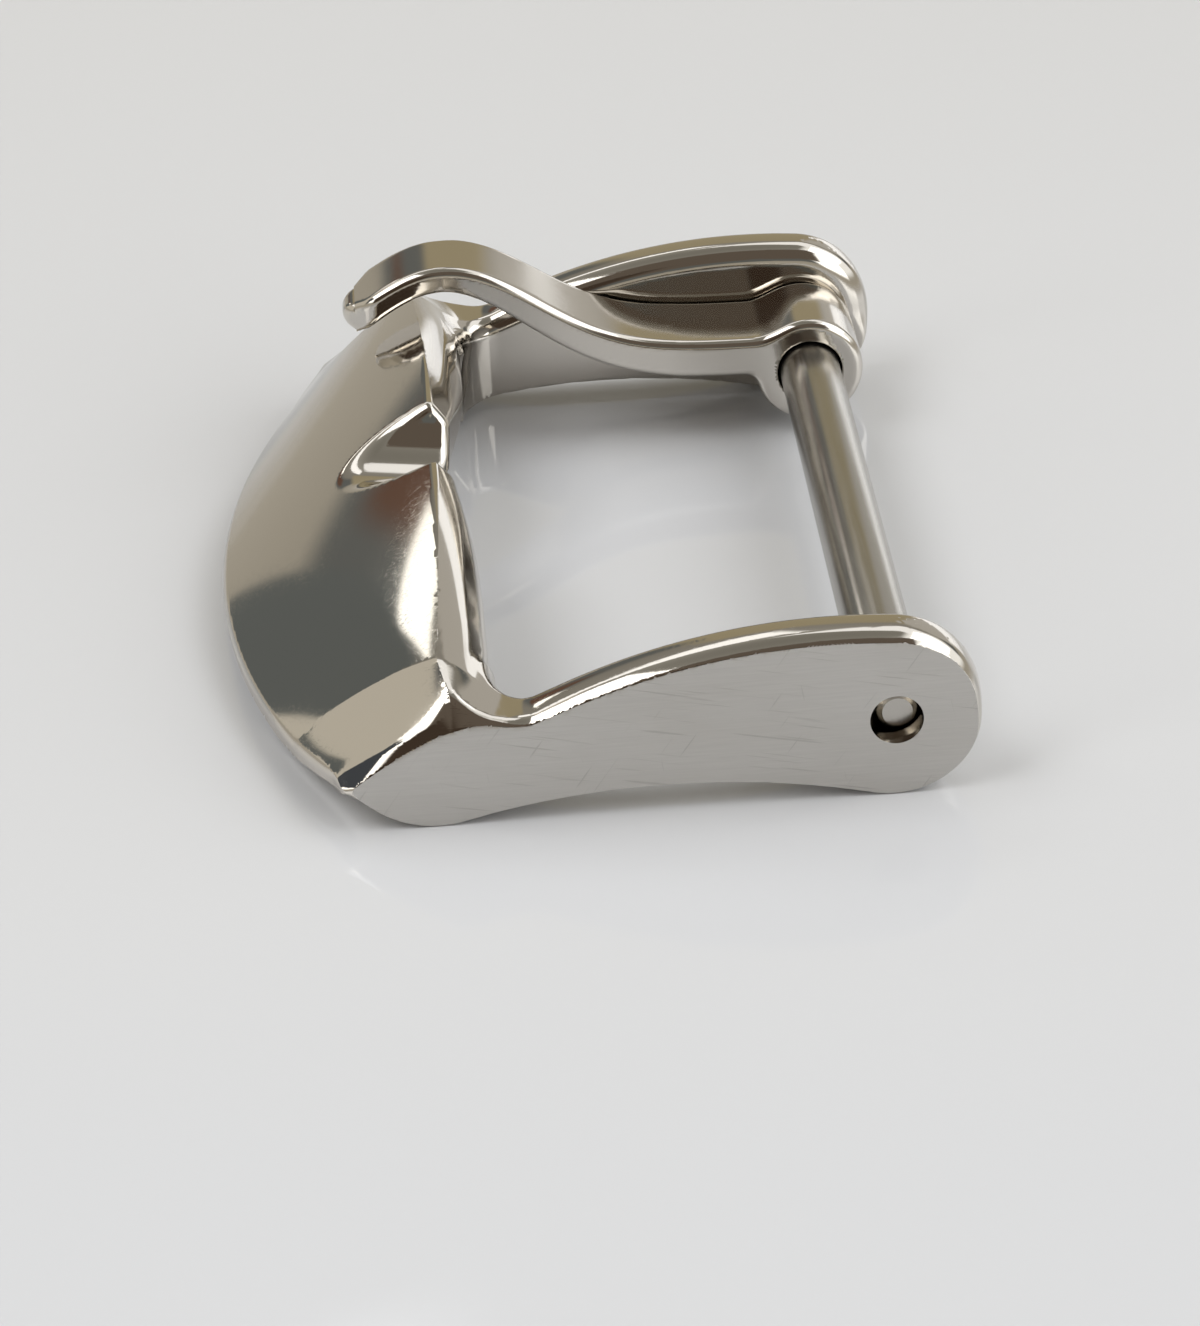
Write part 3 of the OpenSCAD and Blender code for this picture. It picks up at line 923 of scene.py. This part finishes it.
class BuckleFinish(bpy.types.PropertyGroup):
    """Sizes and finishes that a user would change."""

    cell: bpy.props.FloatProperty(
        name="Cell size",
        description="Size of the cells that the curved steel is meshed in, in millimetres",
        default=0.076,
        min=0.03,
        max=0.3,
    )
    polish: bpy.props.FloatProperty(
        name="Polish roughness",
        description="Roughness of the mirror polished steel",
        default=0.06,
        min=0.02,
        max=0.4,
        subtype="FACTOR",
    )
    steel: bpy.props.StringProperty(
        name="Steel colour", description="sRGB hex code of the polished steel", default="#cfcac2"
    )
    brushed: bpy.props.StringProperty(
        name="Brushed colour", description="sRGB hex code of the brushed sides", default="#cac7c2"
    )


class StudioSettings(bpy.types.PropertyGroup):
    """Floor and light."""

    floor: bpy.props.StringProperty(
        name="Floor colour", description="sRGB hex code of the floor", default="#dddfe3"
    )
    key_power: bpy.props.FloatProperty(
        name="Key light", description="Power of each soft lamp", default=0.42, unit="POWER"
    )
    sky: bpy.props.FloatProperty(
        name="Sky", description="Strength of the light from all round", default=1.0, min=0
    )


# ---------------------------------------------------------------- pieces


def on_side(centres):
    """1 for faces on an arm's flat outer side, else 0."""
    return np.abs(centres[:, 1]) > HALF_WIDTH - BRUSHED_DEPTH


class BUCKLE_OT_frame(bpy.types.Operator):
    """Builds the polished frame with its brushed sides"""

    bl_idname = "buckle.frame"
    bl_label = "Frame"

    def execute(self, context):
        s = context.scene.buckle_finish
        mesh = surface(frame_field, *FRAME_BOX, s.cell)
        polished = polished_steel("steel_buffed", s.steel, s.polish)
        brushed = brushed_steel("steel_belt_brushed", s.brushed)
        obj = steel_object("frame_polished", "frame", *mesh, [polished, brushed], on_side)
        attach(obj, "frame")
        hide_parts("frame")
        return {"FINISHED"}


class BUCKLE_OT_tongue(bpy.types.Operator):
    """Builds the bent tongue with its eye"""

    bl_idname = "buckle.tongue"
    bl_label = "Tongue"

    def execute(self, context):
        s = context.scene.buckle_finish
        mesh = surface(tongue_field, *TONGUE_BOX, s.cell)
        tumbled = polished_steel("steel_tumbled", s.steel, s.polish * 1.5)
        obj = steel_object("tongue_polished", "tongue", *mesh, [tumbled])
        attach(obj, "tongue")
        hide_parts("tongue")
        return {"FINISHED"}


class BUCKLE_OT_bar(bpy.types.Operator):
    """Builds the sprung bar: tube, plungers and spring"""

    bl_idname = "buckle.bar"
    bl_label = "Sprung bar"

    def execute(self, context):
        tube = turned("bar_tube_drawn", tube_profile(), satin_steel("steel_tube", "#b4b1ab", 0.22))
        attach(tube, "bar")
        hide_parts("bar_tube")
        pin = satin_steel("steel_turned", "#bdb9b2", 0.2)
        for side, name in ((1, "far"), (-1, "near")):
            obj = turned("pip_" + name, plunger_profile(side), pin)
            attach(obj, "plunger_" + name)
            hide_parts("plunger_" + name)
        # the spring is wound in two halves, one towards each plunger
        wire = satin_steel("steel_wire", "#8f8f90", 0.3, along_bar=False)
        for side, name in ((1, "far"), (-1, "near")):
            obj = coil("spring_" + name, side, wire)
            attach(obj, "bar")
            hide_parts("bar_spring")
            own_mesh(obj)
        return {"FINISHED"}


# ---------------------------------------------------------------- stage

# The photo's camera, found by fitting the arms and the bar: place in millimetres from the bar
# hole's axis, middle and floor, direction as azimuth, elevation and roll, and focal length.
CAMERA_SENSOR = 36
CAMERA_AZ = -2.443
CAMERA_EL = 28.904
CAMERA_ROLL = -2.888
CAMERA_LENS = 4431 / 1326 * CAMERA_SENSOR
CAMERA_AIM = (-5.886, -10.2, 3.498)
CAMERA_DISTANCE = 87.588

# Half the side of the floor, in metres
FLOOR_HALF = 0.6

# Soft lamps: name, azimuth from +Y towards +X, elevation, distance, size and share of the power
LAMPS = [
    ("overhead", -100, 56, 400, (300, 200), 0.95),
    ("right", 95, 45, 400, (260, 260), 0.65),
]

# Heights of the room's plain light, from the horizon up, as the sine of the elevation
ROOM_BANDS = [
    (0.0, "#b9b3a6"),
    (0.18, "#b0aa9d"),
    (0.22, "#6c6e6c"),
    (0.38, "#6c6e6c"),
    (0.46, "#918d84"),
    (0.62, "#9a968e"),
    (0.8, "#aaa79f"),
    (1.0, "#8a877f"),
]

# Windows, walls and dark places of the room: azimuth, elevation, half width and half height in
# degrees, softness of the edges as a share of those, colour and strength
ROOM_PATCHES = [
    (-67, 30, 20, 24, 0.15, "#e0dacc", 0.9),
    (-118, 38, 15, 26, 0.3, "#f4f2ee", 2.4),
    (-98, 31, 12.5, 9.5, 0.15, "#4c5056", 1.0),
    (-40.3, 14, 9.2, 9, 0.15, "#6a6e6d", 1.0),
    (-22, 18.5, 4.5, 4, 0.8, "#6e5446", 1.0),
    (6, 20, 13, 14, 0.4, "#aba084", 1.0),
    (100, 40, 32, 30, 0.4, "#f0f0ee", 1.5),
    (135, 27, 20, 20, 0.4, "#f0f0ee", 3.0),
    (180, 46, 30, 24, 0.2, "#6c6258", 1.0),
    (-150, 22, 20, 17, 0.3, "#4a3e34", 1.0),
    (33, 20, 14, 14, 0.4, "#c4c0b8", 1.0),
    (28, 3.5, 12, 4, 0.3, "#ffffff", 1.35),
    (-25, 45, 19, 5.5, 0.15, "#ffffff", 1.6),
    (-28.5, 23.6, 4.6, 2.35, 0.15, "#fffdf6", 2.2),
    (45, 58, 22, 13, 0.2, "#ffffff", 1.3),
]


def direction(az, el):
    """Unit vector from an azimuth, from +Y towards +X, and an elevation, in degrees."""
    a, e = math.radians(az), math.radians(el)
    return Vector((math.sin(a) * math.cos(e), math.cos(a) * math.cos(e), math.sin(e)))


def patch_cover(tree, place, az, el, halves, soft):
    """How much a patch of the room covers each direction: 1 within it, eased to 0 at its edge."""
    ahead = direction(az, el)
    across = Vector((math.cos(math.radians(az)), -math.sin(math.radians(az)), 0))
    dots = []
    for axis in (ahead, across, across.cross(ahead)):
        dot = add(tree, "ShaderNodeVectorMath", [(0, place)], operation="DOT_PRODUCT")
        dot.inputs[1].default_value = axis
        dots.append(dot.outputs["Value"])
    # nothing that lies behind the patch's own half of the room
    cover = add(tree, "ShaderNodeMath", [(0, dots[0])], operation="GREATER_THAN")
    cover.inputs[1].default_value = 0.05
    for dot, half in zip(dots[1:], halves):
        tangent = add(tree, "ShaderNodeMath", [(0, dot), (1, dots[0])], operation="DIVIDE")
        size = add(tree, "ShaderNodeMath", [(0, tangent.outputs[0])], operation="ABSOLUTE")
        edge = add(
            tree,
            "ShaderNodeMapRange",
            [("Value", size.outputs[0])],
            interpolation_type="SMOOTHSTEP",
            From_Min=math.tan(math.radians(half)) * (1 + soft / 2),
            From_Max=math.tan(math.radians(half)) * (1 - soft / 2),
        )
        both = [(0, cover.outputs[0]), (1, edge.outputs["Result"])]
        cover = add(tree, "ShaderNodeMath", both, operation="MULTIPLY")
    return cover.outputs[0]


def room(strength):
    """World light: plain bands of the room with soft edged windows, walls and dark places."""
    world = bpy.data.worlds.new("studio_room")
    world.use_nodes = True
    tree = world.node_tree
    tree.nodes.clear()
    place = add(tree, "ShaderNodeTexCoord").outputs["Generated"]
    split = add(tree, "ShaderNodeSeparateXYZ", [("Vector", place)])
    bands = add(tree, "ShaderNodeValToRGB", [("Fac", split.outputs["Z"])])
    elements = bands.color_ramp.elements
    while len(elements) < len(ROOM_BANDS):
        elements.new(0.5)
    for element, (at, code) in zip(elements, ROOM_BANDS):
        element.position = at
        element.color = linear(code)
    colour = bands.outputs["Color"]
    for az, el, half_w, half_h, soft, code, power in ROOM_PATCHES:
        cover = patch_cover(tree, place, az, el, (half_w, half_h), soft)
        colour = blend(tree, cover, colour, scaled(linear(code), power))
    back = add(tree, "ShaderNodeBackground", [("Color", colour)], Strength=strength)
    add(tree, "ShaderNodeOutputWorld", [("Surface", back.outputs["Background"])])
    return world


class BUCKLE_OT_stage(bpy.types.Operator):
    """Sets the floor, lights and camera"""

    bl_idname = "buckle.stage"
    bl_label = "Studio"

    def execute(self, context):
        s = context.scene.buckle_studio
        scene = context.scene
        mesh = bpy.data.meshes.new("floor")
        corners = ((-1, -1), (1, -1), (1, 1), (-1, 1))
        points = [(x * FLOOR_HALF, y * FLOOR_HALF, 0) for x, y in corners]
        mesh.from_pydata(points, [], [(0, 1, 2, 3)])
        mesh.materials.append(studio_floor("acrylic_sheet", s.floor))
        floor = bpy.data.objects.new("floor", mesh)
        scene.collection.objects.link(floor)
        scene.world = room(s.sky)
        for name, az, el, far, size, share in LAMPS:
            light = bpy.data.lights.new(name, "AREA")
            light.shape = "RECTANGLE"
            light.size, light.size_y = size[0] * MM, size[1] * MM
            light.energy = s.key_power * share
            obj = bpy.data.objects.new(name, light)
            away = direction(az, el)
            obj.location = away * far * MM
            obj.rotation_euler = away.to_track_quat("Z", "Y").to_euler()
            scene.collection.objects.link(obj)
        camera = bpy.data.cameras.new("camera")
        camera.lens = CAMERA_LENS
        camera.sensor_width = CAMERA_SENSOR
        camera.sensor_fit = "AUTO"
        camera.clip_start, camera.clip_end = 0.001, 10
        obj = bpy.data.objects.new("camera", camera)
        a, e, r = (math.radians(v) for v in (CAMERA_AZ, CAMERA_EL, CAMERA_ROLL))
        back = Vector((math.sin(a) * math.cos(e), -math.cos(a) * math.cos(e), math.sin(e)))
        right = (-back).cross(Vector((0, 0, 1))).normalized()
        up = right.cross(-back)
        right, up = right * math.cos(r) + up * math.sin(r), up * math.cos(r) - right * math.sin(r)
        aim = Vector(CAMERA_AIM) + Vector((HOLE_X, 0, 0))
        place = Matrix.Translation((aim + back * CAMERA_DISTANCE) * MM)
        obj.matrix_world = place @ Matrix((right, up, back)).transposed().to_4x4()
        scene.collection.objects.link(obj)
        scene.camera = obj
        scene.view_settings.view_transform = "Standard"
        return {"FINISHED"}


class BUCKLE_PT_panel(bpy.types.Panel):
    """Lists the pieces and the studio"""

    bl_idname = "BUCKLE_PT_panel"
    bl_label = "Watch Strap Buckle"
    bl_space_type = "VIEW_3D"
    bl_region_type = "UI"
    bl_category = "Buckle"

    def draw(self, context):
        column = self.layout.column()
        for key in ("cell", "polish", "steel", "brushed"):
            column.prop(context.scene.buckle_finish, key)
        for operator in (BUCKLE_OT_frame, BUCKLE_OT_tongue, BUCKLE_OT_bar):
            column.operator(operator.bl_idname)
        for key in ("floor", "key_power", "sky"):
            column.prop(context.scene.buckle_studio, key)
        column.operator(BUCKLE_OT_stage.bl_idname)


CLASSES = (
    BuckleFinish,
    StudioSettings,
    BUCKLE_OT_frame,
    BUCKLE_OT_tongue,
    BUCKLE_OT_bar,
    BUCKLE_OT_stage,
    BUCKLE_PT_panel,
)


def register():
    for c in CLASSES:
        bpy.utils.register_class(c)
    bpy.types.Scene.buckle_finish = bpy.props.PointerProperty(type=BuckleFinish)
    bpy.types.Scene.buckle_studio = bpy.props.PointerProperty(type=StudioSettings)


def unregister():
    del bpy.types.Scene.buckle_studio
    del bpy.types.Scene.buckle_finish
    for c in reversed(CLASSES):
        bpy.utils.unregister_class(c)


def main():
    register()
    bpy.ops.buckle.stage()
    bpy.ops.buckle.frame()
    bpy.ops.buckle.tongue()
    bpy.ops.buckle.bar()


if __name__ == "__main__":
    main()
